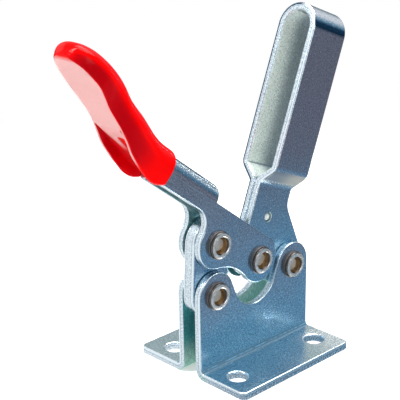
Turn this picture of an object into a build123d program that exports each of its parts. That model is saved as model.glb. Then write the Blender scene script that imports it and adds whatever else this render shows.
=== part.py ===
"""Horizontal toggle clamp with an open hold-down arm, modelled half open.

Frame: origin at the centre of the mounting face, +Z up. The arm reaches towards +X when the
clamp is closed, the grip towards -X, and every pivot runs along Y. The clamp is symmetric
about the XZ plane.
"""
import os
from math import acos, atan2, cos, degrees, radians, sin

from build123d import *

# ---------------------------------------------------------------- driving dimensions (mm)
sheet_thickness = 2.0             # brackets, handle and arm strip
inner_bend_radius = 1.0           # inside the bracket's bend
edge_round_radius = 0.45          # rolled edge that blanking leaves on the outer faces
cut_break_radius = 0.12           # sharp side of a sheared edge
web_gap = 4.5                     # between the bracket webs, and between the handle's cheeks

base_length = 42.0                # along X
base_width = 40.0                 # over both flanges
corner_round_radius = 1.8         # flange corners, seen from above
screw_spacing_x = 30.4
screw_spacing_y = 24.2
screw_hole_diameter = 5.5
screw_hole_roll_radius = 0.5      # rolled upper rim of a screw hole

pivot_height = 22.5               # arm and link pivots above the mounting face
lobe_radius = 6.25                # bracket around those two pivots
bowl_radius = 7.8                 # dip between the bracket's lobes that clears the handle
bowl_rise_height = 0.9            # its centre above the pivots

arm_lever_length = 14.0           # arm pivot to handle pivot
handle_lever_length = 18.0        # handle pivot to knee pivot
link_lever_length = 14.1          # knee pivot to link pivot
arm_angle = 68.0                  # arm above the horizontal, as modelled

shank_radius = 2.4                # tubular rivets
rim_radius = 3.75
rim_height = 0.85                 # rolled rim above its washer
rim_foot_inset = 0.2              # the rim curls in under its widest circle
rim_foot_height = 0.3
cup_mouth_radius = 2.3
cup_lip_depth = 0.5               # rim's top down to the cup's mouth
cup_radius = 1.95
cup_depth = 1.5
washer_radius = 3.85
washer_thickness = 0.55
washer_edge_radius = 0.15
bush_radius = 2.9
running_clearance = 0.05          # bush in the bore that turns on it, on the radius
open_pivot_clearance = 2.75       # wide bore in the link's upper end, on the radius

link_thickness = 4.0
link_radius = 6.5
link_edge_radius = 0.7

arm_strip_top_height = 5.6        # handle pivot to the strip's upper edge
arm_strip_height = 13.6
arm_reach_length = 69.0           # arm pivot to the end of the loop
arm_loop_width = 12.6
arm_lobe_radius = 6.4             # stem, around the arm pivot
arm_neck_slope = 44.0             # stem's lower flank, to the strip's direction
arm_neck_radius = 5.0
leaf_seam_gap = 0.06              # between the stem's two leaves
stem_length = 20.5                # arm pivot to the end of the flat stem
step_length = 4.0                 # along the strip, from stem to leg
step_bend_radius = 1.0            # inside the bends at the step
stem_rivet_radius = 1.5
stem_rivet_along_distance = 11.4  # from the arm pivot, along the strip
stem_rivet_across_distance = 12.7 # and across it
stem_rivet_rim_width = 0.45       # flat rim round the rivet's dished middle
stem_rivet_dish_depth = 0.35
stem_rivet_sink_depth = 0.05      # its head below the leaf

neck_turn = 8.3                   # neck direction, turned back from the handle's lever line
arm_end_lobe_radius = 6.5         # cheek around the handle pivot
link_end_lobe_radius = 6.7        # cheek around the knee pivot
arch_radius = 14.0                # hollow between those lobes
neck_depth = 4.0                  # cheek below the bend line
neck_round_radius = 5.0
web_start_distance = 25.0         # where the handle's web begins, from the handle pivot
cheek_end_distance = 46.8
cheek_end_slope_length = 1.5
tang_bend_distance = 46.0         # the tang inside the grip turns up here
tang_slope = 13.0
tang_rise_length = 21.5           # straight run of the tang after it turns up
tang_bend_radius = 22.0

grip_start_distance = 45.3
grip_lining_thickness = 0.8       # vinyl under the tang
grip_lining_length = 3.0          # past the tang's first turn
grip_clearance = 0.05             # grip to the handle's cheeks, on each side
waist_share = 0.45                # of the grip's height, where it is widest
waist_bulge = 0.35                # widest half width over that of the underside
crown_fullness = 2.2              # 2 makes the crown an ellipse, more makes it squarer
crown_turns = (0, 22, 45, 67)     # degrees up from the waist, where the section is set out
skirt_end_distance = 66.0         # two skirts hang below the grip from its start to here
skirt_roof_height = 7.3           # roof between them, at that end
skirt_roof_bend_distance = 57.0   # it slopes down to the lining from here
# stations along the grip: distance, half width, underside, top
grip_stations = [
    (45.3, 5.25, 2.5, 11.7),
    (49.0, 5.25, 1.6, 11.8),
    (54.0, 5.30, 2.4, 12.7),
    (60.0, 5.75, 4.5, 14.6),
    (65.0, 5.65, 7.5, 16.0),
    (69.0, 5.30, 9.3, 18.0),
    (73.0, 5.70, 10.8, 19.4),
    (78.0, 6.70, 12.8, 20.0),
    (82.0, 6.00, 14.0, 20.2),
    (85.3, 4.20, 14.9, 19.9),
    (87.0, 1.80, 15.9, 19.1),
]

# ---------------------------------------------------------------- derived sizes
outer_bend_radius = inner_bend_radius + sheet_thickness
bend_sag = 1 - sin(radians(45))   # middle of a round corner to its square one, per radius
web_inner = web_gap / 2
web_outer = web_inner + sheet_thickness
half_length = base_length / 2
pivot_spacing = base_length - 2 * lobe_radius
bowl_centre = Vector(0, pivot_height + bowl_rise_height)
running_bore = bush_radius + running_clearance


def polar(radius, angle):
    """Point at a distance and an angle (degrees) from the origin of a flat drawing."""
    return Vector(radius * cos(radians(angle)), radius * sin(radians(angle)))


def bearing(start, end):
    """Direction from start to end, in degrees."""
    return degrees(atan2(end.Y - start.Y, end.X - start.X))


def circles_meet(centre_a, radius_a, centre_b, radius_b, side):
    """Point at radius_a from one centre and radius_b from the other.

    side is +1 for the point to the left of the line from a to b, and -1 for the right.
    """
    gap = centre_b - centre_a
    cosine = (radius_a**2 + gap.length**2 - radius_b**2) / (2 * radius_a * gap.length)
    return centre_a + polar(radius_a, bearing(centre_a, centre_b) + side * degrees(acos(cosine)))


def crossing_tangent(lobe, lobe_size, bowl, bowl_size, side):
    """Ends of the line that leaves a round lobe and runs on into a round hollow beside it."""
    tilt = degrees(acos((lobe_size + bowl_size) / (bowl - lobe).length))
    normal = polar(1, bearing(lobe, bowl) + side * tilt)
    return lobe + normal * lobe_size, bowl - normal * bowl_size


def upright(point):
    """Point of the XZ drawing as a place in the model."""
    return Vector(point.X, 0, point.Y)


# pivots, in the XZ drawing
arm_pivot = Vector(pivot_spacing / 2, pivot_height)
link_pivot = Vector(-pivot_spacing / 2, pivot_height)
handle_pivot = arm_pivot + polar(arm_lever_length, arm_angle + 90)
knee_pivot = circles_meet(handle_pivot, handle_lever_length, link_pivot, link_lever_length, -1)
neck_angle = bearing(handle_pivot, knee_pivot) - neck_turn


def drawing_plane(origin, angle):
    """Plane of the mechanism, with its own x along the given direction."""
    along = upright(polar(1, angle))
    return Plane(origin=upright(origin), x_dir=along, z_dir=(0, -1, 0))


def rim_of(faces):
    """Edges that bound a run of joined faces, without the round holes in it."""
    seen = [edge for face in faces for edge in face.edges()]
    return ShapeList(
        edge
        for edge in seen
        if sum(edge.is_same(other) for other in seen) == 1
        and not (edge.geom_type == GeomType.CIRCLE and edge.is_closed)
    )


def faces_sideways(face):
    """A face that isn't square across the pivots' direction."""
    return abs(face.normal_at().Y) > 0.1


def faces_out(face):
    """A face that looks away from the middle plane."""
    return face.normal_at().Y * face.center().Y > 0


def faces_in(face):
    """A face that looks towards the middle plane."""
    return face.normal_at().Y * face.center().Y < 0


os.makedirs("parts", exist_ok=True)


def save(shape, name):
    shape.label = name
    export_step(shape, f"parts/{name}.step")


# ---------------------------------------------------------------- base brackets
left_tangent = crossing_tangent(link_pivot, lobe_radius, bowl_centre, bowl_radius, 1)
right_tangent = crossing_tangent(arm_pivot, lobe_radius, bowl_centre, bowl_radius, -1)

for side, bracket_name in ((-1, "near_bracket"), (1, "far_bracket")):
    with BuildPart() as bracket:
        # bent section, seen along X
        with BuildSketch(Plane.YZ):
            top = pivot_height + lobe_radius
            with BuildLine():
                Polyline(
                    (side * web_inner, top),
                    (side * web_inner, 0),
                    (side * base_width / 2, 0),
                    (side * base_width / 2, sheet_thickness),
                    (side * web_outer, sheet_thickness),
                    (side * web_outer, top),
                    close=True,
                )
            make_face()
            near_inside = vertices().sort_by_distance((side * web_inner, 0))[0]
            fillet(near_inside, outer_bend_radius)
            near_outside = vertices().sort_by_distance((side * web_outer, sheet_thickness))[0]
            fillet(near_outside, inner_bend_radius)
        extrude(amount=half_length, both=True)

        # web outline, seen along Y
        with BuildSketch(Plane.XZ):
            with BuildLine():
                Line((-half_length, 0), (-half_length, pivot_height))
                ThreePointArc(
                    (-half_length, pivot_height),
                    link_pivot + polar(lobe_radius, 100),
                    left_tangent[0],
                )
                Line(*left_tangent)
                ThreePointArc(
                    left_tangent[1],
                    bowl_centre + polar(bowl_radius, -90),
                    right_tangent[1],
                )
                Line(right_tangent[1], right_tangent[0])
                ThreePointArc(
                    right_tangent[0],
                    arm_pivot + polar(lobe_radius, 80),
                    (half_length, pivot_height),
                )
                Line((half_length, pivot_height), (half_length, 0))
                Line((half_length, 0), (-half_length, 0))
            make_face()
        extrude(amount=base_width, both=True, mode=Mode.INTERSECT)

        # flange corners and screw holes
        flange_ends = edges().filter_by(Axis.Z).group_by(Axis.Y)[0 if side < 0 else -1]
        fillet(flange_ends, corner_round_radius)
        with Locations((0, side * screw_spacing_y / 2, sheet_thickness)):
            with GridLocations(screw_spacing_x, 0, 2, 1):
                Hole(screw_hole_diameter / 2)
        with BuildSketch(Plane.XZ):
            with Locations((arm_pivot.X, arm_pivot.Y), (link_pivot.X, link_pivot.Y)):
                Circle(shank_radius)
        extrude(amount=base_width, both=True, mode=Mode.SUBTRACT)

        # rolled rims on the outer side, small breaks on the inner side
        def run_of_faces(web_side, bend_radius, flange_face):
            """Web face, bend and flange face on one side of the sheet."""
            bend_y = web_side + bend_radius * bend_sag
            bend_z = flange_face + bend_radius * bend_sag
            places = (
                (0, side * web_side, pivot_height / 2),
                (0, side * bend_y, bend_z),
                (0, side * screw_spacing_y / 2, flange_face),
            )
            return [faces().sort_by_distance(place)[0] for place in places]

        fillet(
            rim_of(run_of_faces(web_outer, inner_bend_radius, sheet_thickness)),
            edge_round_radius,
        )
        hole_rims = edges().filter_by(lambda edge: edge.is_closed).group_by(Axis.Z)
        fillet(hole_rims[1], screw_hole_roll_radius)
        fillet(rim_of(run_of_faces(web_inner, outer_bend_radius, 0)), cut_break_radius)
    save(bracket.part, bracket_name)

# ---------------------------------------------------------------- link
link_plane = drawing_plane(link_pivot, bearing(link_pivot, knee_pivot))
with BuildPart() as link:
    with BuildSketch(link_plane):
        with Locations((link_lever_length / 2, 0)):
            SlotCenterToCenter(link_lever_length, 2 * link_radius)
    extrude(amount=link_thickness / 2, both=True)
    fillet(edges(), link_edge_radius)
    with BuildSketch(link_plane):
        Circle(running_bore)
        with Locations((link_lever_length, 0)):
            Circle(bush_radius + open_pivot_clearance)
    extrude(amount=link_thickness, both=True, mode=Mode.SUBTRACT)
save(link.part, "link")

# ---------------------------------------------------------------- arm
arm_plane = drawing_plane(arm_pivot, arm_angle)
strip_top = arm_lever_length + arm_strip_top_height
strip_bottom = strip_top - arm_strip_height
loop_radius = arm_loop_width / 2
loop_centre = arm_reach_length - loop_radius
leg_start = stem_length + step_length
leaf_middle = (leaf_seam_gap + sheet_thickness) / 2
leg_middle = loop_radius - sheet_thickness / 2

with BuildPart() as arm:
    # folded strip, seen along its height
    strip_plane = Plane(
        origin=upright(arm_pivot), x_dir=arm_plane.x_dir, z_dir=arm_plane.y_dir
    )
    with BuildSketch(strip_plane):
        with BuildLine():
            for way in (1, -1):
                FilletPolyline(
                    (-arm_lobe_radius, way * leaf_middle),
                    (stem_length, way * leaf_middle),
                    (leg_start, way * leg_middle),
                    (loop_centre, way * leg_middle),
                    radius=step_bend_radius + sheet_thickness / 2,
                )
            ThreePointArc(
                (loop_centre, leg_middle),
                (loop_centre + leg_middle, 0),
                (loop_centre, -leg_middle),
            )
            offset(amount=sheet_thickness / 2, side=Side.BOTH)
        make_face()
    extrude(amount=strip_top + arm_lobe_radius, both=True)

    # outline of the strip and its stem, seen along Y
    lobe_tangent = polar(arm_lobe_radius, arm_neck_slope - 90)
    flank_length = (strip_bottom - lobe_tangent.Y) / sin(radians(arm_neck_slope))
    neck = lobe_tangent + polar(flank_length, arm_neck_slope)
    with BuildSketch(arm_plane):
        with BuildLine():
            FilletPolyline(
                lobe_tangent, neck, (arm_reach_length, strip_bottom), radius=arm_neck_radius
            )
            Polyline(
                (arm_reach_length, strip_bottom), (arm_reach_length, strip_top), (0, strip_top)
            )
            ThreePointArc(
                (0, strip_top),
                Vector(0, arm_lever_length) + polar(arm_strip_top_height, 135),
                (-arm_strip_top_height, arm_lever_length),
            )
            Line((-arm_strip_top_height, arm_lever_length), (-arm_lobe_radius, 0))
            ThreePointArc(
                (-arm_lobe_radius, 0), polar(arm_lobe_radius, 225), lobe_tangent
            )
        make_face()
    extrude(amount=arm_loop_width, both=True, mode=Mode.INTERSECT)

    # rolled rims on both sides of the strip
    tip = arm_plane.from_local_coords((arm_reach_length, arm_lever_length, 0))
    tip_outside, tip_inside = faces().sort_by_distance(tip)[:2]
    broad = faces().filter_by(faces_sideways)
    fillet(
        rim_of([*broad.filter_by(faces_out), tip_outside])
        + rim_of([*broad.filter_by(faces_in), tip_inside]),
        edge_round_radius,
    )

    # pivot bores and the small rivet's hole
    with BuildSketch(arm_plane):
        with Locations((0, 0), (0, arm_lever_length)):
            Circle(running_bore)
        with Locations((stem_rivet_along_distance, stem_rivet_across_distance)):
            Circle(stem_rivet_radius)
    extrude(amount=arm_loop_width, both=True, mode=Mode.SUBTRACT)
save(arm.part, "arm")

stem_rivet_place = arm_plane.from_local_coords(
    (stem_rivet_along_distance, stem_rivet_across_distance, 0)
)
stem_rivet_top = sheet_thickness - stem_rivet_sink_depth
with BuildPart() as stem_rivet:
    with BuildSketch(Plane(origin=stem_rivet_place, x_dir=(1, 0, 0), z_dir=(0, 0, 1))):
        with BuildLine():
            Polyline(
                (0, 0),
                (stem_rivet_radius, 0),
                (stem_rivet_radius, stem_rivet_top),
                (stem_rivet_radius - stem_rivet_rim_width, stem_rivet_top),
                (0, stem_rivet_top - stem_rivet_dish_depth),
                close=True,
            )
        make_face()
    revolve(axis=Axis(stem_rivet_place, (0, 1, 0)))
    mirror(about=Plane.XZ)
save(stem_rivet.part, "stem_rivet")

# ---------------------------------------------------------------- handle
# its own x runs from the handle pivot along the neck, its own y towards the web
handle_plane = Plane(
    origin=upright(handle_pivot), x_dir=upright(polar(1, neck_angle)), z_dir=(0, 1, 0)
)
knee = polar(handle_lever_length, -neck_turn)
bend_line = arm_end_lobe_radius
neck_bottom = bend_line - neck_depth
origin = Vector(0, 0)
arch_centre = circles_meet(
    origin, arm_end_lobe_radius + arch_radius, knee, link_end_lobe_radius + arch_radius, -1
)
neck_rise = neck_bottom - neck_round_radius - knee.Y
neck_centre = Vector(
    knee.X + ((link_end_lobe_radius + neck_round_radius) ** 2 - neck_rise**2) ** 0.5,
    neck_bottom - neck_round_radius,
)
arch_from = bearing(knee, arch_centre)
arch_to = bearing(origin, arch_centre)
neck_from = bearing(knee, neck_centre)


# bend line of the handle, from where its web starts up through the grip
with BuildLine() as bend_path:
    run = Line((web_start_distance, bend_line), (tang_bend_distance, bend_line))
    turn = JernArc(run @ 1, run % 1, tang_bend_radius, tang_slope)
    Line(turn @ 1, turn @ 1 + (turn % 1) * tang_rise_length)
bend_wire = handle_plane * bend_path.wire()
web_plane = Plane(
    origin=handle_plane.from_local_coords((web_start_distance, bend_line, 0)),
    x_dir=-handle_plane.z_dir,
    z_dir=handle_plane.x_dir,
)

with BuildPart() as handle:
    # one cheek, mirrored to the other side
    with BuildSketch(handle_plane.offset(web_inner)):
        with BuildLine():
            Polyline(
                (0, bend_line),
                (cheek_end_distance, bend_line),
                (cheek_end_distance - cheek_end_slope_length, neck_bottom),
                (neck_centre.X, neck_bottom),
            )
            ThreePointArc(
                (neck_centre.X, neck_bottom),
                neck_centre + polar(neck_round_radius, (90 + neck_from + 180) / 2),
                knee + polar(link_end_lobe_radius, neck_from),
            )
            ThreePointArc(
                knee + polar(link_end_lobe_radius, neck_from),
                knee + polar(link_end_lobe_radius, (neck_from + arch_from) / 2),
                knee + polar(link_end_lobe_radius, arch_from),
            )
            ThreePointArc(
                knee + polar(link_end_lobe_radius, arch_from),
                arch_centre + polar(arch_radius, (arch_from + arch_to) / 2 + 180),
                polar(arm_end_lobe_radius, arch_to),
            )
            ThreePointArc(
                polar(arm_end_lobe_radius, arch_to),
                polar(arm_end_lobe_radius, (arch_to - 270) / 2),
                (0, bend_line),
            )
        make_face()
        with Locations((0, 0), (knee.X, knee.Y)):
            Circle(shank_radius, mode=Mode.SUBTRACT)
    extrude(amount=sheet_thickness)
    mirror(about=Plane.XZ)

    # web: a half-round bend that runs on as a tang inside the grip
    with BuildSketch(web_plane):
        Circle(web_outer)
        Circle(web_inner, mode=Mode.SUBTRACT)
        with Locations((0, -web_outer)):
            Rectangle(2 * web_outer, 2 * web_outer, mode=Mode.SUBTRACT)
    sweep(path=bend_wire)

    # rolled rims of the cheeks and of the web's start
    def is_rim(edge):
        """Whether an edge of a cheek is a cut edge, clear of the web and the grip."""
        place = handle_plane.to_local_coords(edge.center())
        under_web = web_start_distance < place.X and abs(place.Y - bend_line) < cut_break_radius
        return place.X < cheek_end_distance and not under_web

    cheeks = faces().filter_by(GeomType.PLANE).filter_by(faces_sideways)
    outer_rims = rim_of(cheeks.filter_by(faces_out)).filter_by(is_rim)
    inner_rims = rim_of(cheeks.filter_by(faces_in)).filter_by(is_rim)
    fillet(outer_rims, edge_round_radius)
    fillet(inner_rims, cut_break_radius)
    web_crown = web_plane.from_local_coords((0, web_outer, 0))
    fillet(edges().sort_by_distance(web_crown)[0], edge_round_radius)
save(handle.part, "handle")

# ---------------------------------------------------------------- grip
lining_end = tang_bend_distance + grip_lining_length
with BuildPart() as grip:
    for distance, half_width, underside, crown in grip_stations:
        station = Plane(
            origin=handle_plane.from_local_coords((distance, 0, 0)),
            x_dir=-handle_plane.z_dir,
            z_dir=handle_plane.x_dir,
        )
        waist = underside + (crown - underside) * waist_share
        widest = half_width + waist_bulge
        power = 2 / crown_fullness
        side_points = [
            (widest * cos(radians(turned)) ** power,
             waist + (crown - waist) * sin(radians(turned)) ** power)
            for turned in crown_turns
        ]
        with BuildSketch(station):
            with BuildLine():
                Spline(
                    (half_width, underside),
                    *side_points,
                    (0, crown),
                    *[(-across, up) for across, up in reversed(side_points)],
                    (-half_width, underside),
                )
                Line((-half_width, underside), (half_width, underside))
            make_face()
    loft()

    # hollow that fits over the tang
    with BuildSketch(web_plane):
        Circle(web_outer)
        with Locations((0, -web_outer)):
            Rectangle(2 * web_outer, 2 * web_outer, mode=Mode.SUBTRACT)
    sweep(path=bend_wire, mode=Mode.SUBTRACT)

    # room between the skirts, with the cheeks' ends in it
    with BuildSketch(handle_plane):
        with BuildLine():
            Polyline(
                (grip_start_distance, -bend_line),
                (grip_start_distance, bend_line),
                (cheek_end_distance + grip_clearance, bend_line),
                (cheek_end_distance + grip_clearance, bend_line - grip_lining_thickness),
                (lining_end, bend_line - grip_lining_thickness),
                (skirt_roof_bend_distance, skirt_roof_height),
                (skirt_end_distance, skirt_roof_height),
                (skirt_end_distance, -bend_line),
                close=True,
            )
        make_face()
    extrude(amount=web_outer + grip_clearance, both=True, mode=Mode.SUBTRACT)
save(grip.part, "grip")

# ---------------------------------------------------------------- pivots
pivots = {
    "arm_pivot": arm_pivot,
    "handle_pivot": handle_pivot,
    "knee_pivot": knee_pivot,
    "link_pivot": link_pivot,
}
washer_outer = web_outer + washer_thickness
rim_top = washer_outer + rim_height
cup_floor = rim_top - cup_depth

for pivot_name, place in pivots.items():
    centre = upright(place)
    turning = Plane(origin=centre, x_dir=(1, 0, 0), z_dir=(0, 0, 1))
    with BuildPart() as rivet:
        with BuildSketch(turning):
            with BuildLine():
                Polyline(
                    (0, 0),
                    (shank_radius, 0),
                    (shank_radius, washer_outer),
                    (rim_radius - rim_foot_inset, washer_outer),
                    (rim_radius, washer_outer + rim_foot_height),
                )
                ThreePointArc(
                    (rim_radius, washer_outer + rim_foot_height),
                    ((rim_radius + cup_mouth_radius) / 2, rim_top),
                    (cup_mouth_radius, rim_top - cup_lip_depth),
                )
                Polyline(
                    (cup_mouth_radius, rim_top - cup_lip_depth),
                    (cup_radius, cup_floor),
                    (0, cup_floor),
                    (0, 0),
                )
            make_face()
        revolve(axis=Axis(centre, (0, 1, 0)))
        mirror(about=Plane.XZ)
    save(rivet.part, pivot_name + "_rivet")

    with BuildPart() as bush:
        with BuildSketch(Plane(origin=centre, x_dir=(1, 0, 0), z_dir=(0, -1, 0))):
            Circle(bush_radius)
            Circle(shank_radius, mode=Mode.SUBTRACT)
        extrude(amount=web_inner, both=True)
    save(bush.part, pivot_name + "_bush")

    for side, side_name in ((-1, "near"), (1, "far")):
        face = Plane(
            origin=centre + Vector(0, side * web_outer, 0),
            x_dir=(1, 0, 0),
            z_dir=(0, side, 0),
        )
        with BuildPart() as washer:
            with BuildSketch(face):
                Circle(washer_radius)
                Circle(shank_radius, mode=Mode.SUBTRACT)
            extrude(amount=washer_thickness)
            rims = edges().filter_by(GeomType.CIRCLE).group_by(SortBy.RADIUS)[-1]
            fillet(rims, washer_edge_radius)
        save(washer.part, f"{pivot_name}_{side_name}_washer")
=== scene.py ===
"""Toggle clamp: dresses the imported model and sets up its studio.

It is laid out as an add-on and run as a script. Lengths are in metres, in the model's own frame:
origin at the middle of the mounting face, +Z up, every pivot along Y.
"""
from math import atan2, cos, pi, radians, sin, sqrt

import bmesh
import bpy
from bpy.props import FloatProperty, FloatVectorProperty, PointerProperty
from mathutils import Matrix, Vector


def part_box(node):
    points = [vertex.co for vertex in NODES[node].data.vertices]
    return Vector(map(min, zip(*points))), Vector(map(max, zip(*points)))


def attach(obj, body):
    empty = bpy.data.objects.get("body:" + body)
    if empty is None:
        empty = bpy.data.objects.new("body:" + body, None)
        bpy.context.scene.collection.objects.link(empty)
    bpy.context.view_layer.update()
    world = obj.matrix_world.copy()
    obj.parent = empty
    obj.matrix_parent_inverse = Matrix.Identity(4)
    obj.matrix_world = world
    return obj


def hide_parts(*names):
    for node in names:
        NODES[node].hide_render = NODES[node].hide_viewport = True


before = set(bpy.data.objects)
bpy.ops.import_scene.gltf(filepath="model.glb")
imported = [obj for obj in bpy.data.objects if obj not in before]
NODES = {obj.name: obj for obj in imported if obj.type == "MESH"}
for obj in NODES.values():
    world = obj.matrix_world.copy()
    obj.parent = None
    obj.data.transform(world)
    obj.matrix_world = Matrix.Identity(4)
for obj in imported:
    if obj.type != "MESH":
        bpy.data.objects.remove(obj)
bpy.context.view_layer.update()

bl_info = {
    "name": "Toggle clamp",
    "version": (1, 0, 0),
    "blender": (4, 5, 0),
    "location": "View3D > Sidebar > Clamp",
    "description": "Plated steel, tubular rivets and vinyl grip of a toggle clamp",
    "category": "Object",
}

MM = 0.001
PIVOT_BODIES = {
    "arm_pivot": "base", "handle_pivot": "handle", "knee_pivot": "handle", "link_pivot": "base",
}


def middle_of(node):
    """Middle of a node's box, as a point of the XZ drawing."""
    low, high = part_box(node)
    return Vector(((low[0] + high[0]) / 2, (low[2] + high[2]) / 2))


def direction(angle):
    """Unit vector of the XZ drawing."""
    return Vector((cos(angle), sin(angle)))


# the handle's own axes: along its neck from the handle pivot, and up towards its web
KNEE_LIFT = 8.3                   # degrees from the neck up to the line between its pivots
HANDLE_AT = middle_of("handle_pivot_rivet")
KNEE_LINE = middle_of("knee_pivot_rivet") - HANDLE_AT
NECK_ANGLE = atan2(KNEE_LINE.y, KNEE_LINE.x) - radians(KNEE_LIFT)
NECK = direction(NECK_ANGLE)
NECK_UP = direction(NECK_ANGLE - pi / 2)
BEND_LINE = 6.5 * MM              # middle of the web's half-round bend, in those axes
# the arm's own axes: along its strip from the arm pivot, and across it
ARM_ANGLE = 68                    # degrees above the floor
ARM_AT = middle_of("arm_pivot_rivet")
ARM = direction(radians(ARM_ANGLE))
ARM_UP = direction(radians(ARM_ANGLE + 90))


# ---------------------------------------------------------------- settings
def colour(name, description, default):
    return FloatVectorProperty(
        name=name, description=description, default=default, subtype="COLOR", min=0, max=1
    )


def share(name, description, default):
    return FloatProperty(
        name=name, description=description, default=default, subtype="FACTOR", min=0, max=1
    )


def size(name, description, default):
    return FloatProperty(
        name=name, description=description, default=default, subtype="DISTANCE", unit="LENGTH",
        precision=5,
    )


def turn(name, description, default):
    return FloatProperty(
        name=name, description=description, default=radians(default), subtype="ANGLE",
        unit="ROTATION",
    )


def power(name, description, default):
    return FloatProperty(
        name=name, description=description, default=default, subtype="POWER", unit="POWER", min=0
    )


class ClampPlating(bpy.types.PropertyGroup):
    """Bright zinc plating on the pressed parts"""

    # pale is also painted on rims, ends and tops as a painted highlight
    pale: colour("Pale", "Tint of the flanges", (0.86, 0.92, 0.92))
    blue: colour("Blue", "Tint of the zinc low down", (0.44, 0.70, 0.90))
    violet: colour("Violet", "Tint where the film is thin", (0.56, 0.59, 0.68))
    # inner: painted light on the lit side of the loop's inside; inner_shade is its painted shade
    inner: colour("Inner", "Inside of the arm's loop", (0.91, 1.0, 0.93))
    inner_shade: colour("Inner shade", "Shaded side of the loop", (0.29, 0.36, 0.38))
    green: colour("Green", "Inner faces of the brackets", (0.66, 0.92, 0.90))
    # painted shade on inner faces, between the brackets and in the small rivet's groove
    shade_teal: colour("Teal", "Inner faces of the handle and the link", (0.05, 0.22, 0.24))
    # painted dark reflection on the arm's bends and outer corner, and painted shade where its leg
    # meets the step
    navy_reflection_and_shade: colour("Navy", "Bends that mirror the dark of the room", (0.04, 0.09, 0.15))
    # edge: painted highlight on the rolled edges; also the colour of scuffs and drawn streaks
    edge: colour("Edge", "Rolled edges", (0.78, 0.86, 0.92))
    torn: colour("Torn edge", "Rough half of a sheared edge", (0.68, 0.76, 0.82))
    # painted shade in the fillet of the brackets' bends
    crease_shade: colour("Crease", "Fillet of the brackets' bends", (0.10, 0.25, 0.38))
    shear: colour("Shear line", "Line along the middle of a sheared edge", (0.16, 0.24, 0.32))
    cloud: size("Cloud", "Size of a tint patch", 0.016)
    grain: size("Grain", "Size of the plating's crystals", 0.00042)
    roughness: share("Roughness", "Satin of the flat faces", 0.21)


class ClampRivetSteel(bpy.types.PropertyGroup):
    """Tubular rivets, their washers and bushes"""

    nickel: colour("Nickel", "Rivet rims", (1.0, 0.92, 0.86))
    # Cup: painted shade with a painted golden reflection on the cups' walls
    cup_wall_shade: colour("Cup", "Burnt oil on the walls of the cups", (0.42, 0.24, 0.10))
    floor: colour("Cup floor", "Bottom of the cups", (1.0, 0.90, 0.78))
    washer: colour("Washer", "Washers", (0.32, 0.27, 0.25))
    roughness: share("Roughness", "Satin of the rims", 0.22)


class ClampVinyl(bpy.types.PropertyGroup):
    """Moulded vinyl of the grip"""

    red: colour("Red", "Colour of the vinyl", (1.0, 0.0, 0.0))
    # Dark red: painted shade on the grip's sides and inside its skirts
    painted_shade: colour("Deep red", "Colour in the folds", (0.46, 0.0, 0.004))
    # Underside tint: painted reflection of the white floor on the grip's underside
    painted_floor_reflection: colour("Bloom", "Bloom on the underside", (0.82, 0.53, 0.51))
    roughness: share("Roughness", "Gloss of the skin", 0.10)
    lip: size("Lip", "Rounding of the sleeve's lower edges", 0.0007)
    mouth: size("Mouth", "Depth of the recess between the skirts", 0.0004)


class ClampStudio(bpy.types.PropertyGroup):
    """Camera, lamps and floor"""

    azimuth: turn("Azimuth", "Camera round the model", -43.68)
    elevation: turn("Elevation", "Camera above the horizon", 19.78)
    roll: turn("Roll", "Camera about its own line of sight", -1.05)
    distance: size("Distance", "Camera from the model's origin", 0.32096)
    slide: size("Slide", "Camera to the right", -0.01248)
    lift: size("Lift", "Camera up", 0.04157)
    lens: FloatProperty(
        name="Lens", description="Focal length", default=103.685, subtype="DISTANCE_CAMERA",
        unit="CAMERA",
    )
    floor: colour("Floor", "Colour of the floor", (0.90, 0.90, 0.90))
    near_card: colour("Near card", "Mirrored by the faces low down", (0.21, 0.32, 0.42))
    far_card: colour("Far card", "Mirrored by the faces high up", (0.18, 0.19, 0.23))
    under_card: colour("Under card", "Mirrored between the brackets", (0.42, 0.80, 0.58))
    key: power("Key lamp", "Narrow softbox high on the left", 2.1)
    fill: power("Fill lamp", "Softbox in front", 0.50)
    top: power("Top lamp", "Softbox overhead", 4.0)
    world: share("Room", "Light from the room", 0.45)


SETTINGS = {
    "clamp_plating": ClampPlating,
    "clamp_rivet_steel": ClampRivetSteel,
    "clamp_vinyl": ClampVinyl,
    "clamp_studio": ClampStudio,
}


# ---------------------------------------------------------------- shader maths
class Wire:
    """A shader socket that takes part in Python expressions."""

    def __init__(self, finish, socket):
        self.finish, self.socket = finish, socket

    def _math(self, operation, *values):
        return self.finish.node("ShaderNodeMath", {"operation": operation}, list(values))

    def __add__(self, other):
        return self._math("ADD", self, other)

    __radd__ = __add__

    def __mul__(self, other):
        return self._math("MULTIPLY", self, other)

    __rmul__ = __mul__

    def __sub__(self, other):
        return self._math("SUBTRACT", self, other)

    def __rsub__(self, other):
        return self._math("SUBTRACT", other, self)

    def __truediv__(self, other):
        return self._math("DIVIDE", self, other)

    def __rtruediv__(self, other):
        return self._math("DIVIDE", other, self)

    def __pow__(self, other):
        return self._math("POWER", self, other)

    def __rpow__(self, other):
        return self._math("POWER", other, self)

    def __abs__(self):
        return self._math("ABSOLUTE", self)

    def least(self, other):
        return self._math("MINIMUM", self, other)

    def most(self, other):
        return self._math("MAXIMUM", self, other)

    def ramp(self, low, high, out_low=0.0, out_high=1.0):
        """Smooth step from out_low to out_high as the value goes from low to high."""
        return self.finish.node(
            "ShaderNodeMapRange",
            {"interpolation_type": "SMOOTHSTEP"},
            {"Value": self, "From Min": low, "From Max": high, "To Min": out_low,
             "To Max": out_high},
        )

    def between(self, start, full, still_full, end):
        """Mask that rises from start to full and falls from still_full to end."""
        return self.ramp(start, full) * self.ramp(end, still_full)

    def near(self, at, fade, full):
        """Mask of a line at a value: full within one distance of it, none past another."""
        return abs(self - at).ramp(fade, full)


def reach(first, second):
    """Length of the diagonal over two distances."""
    return (first * first + second * second) ** 0.5


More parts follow.
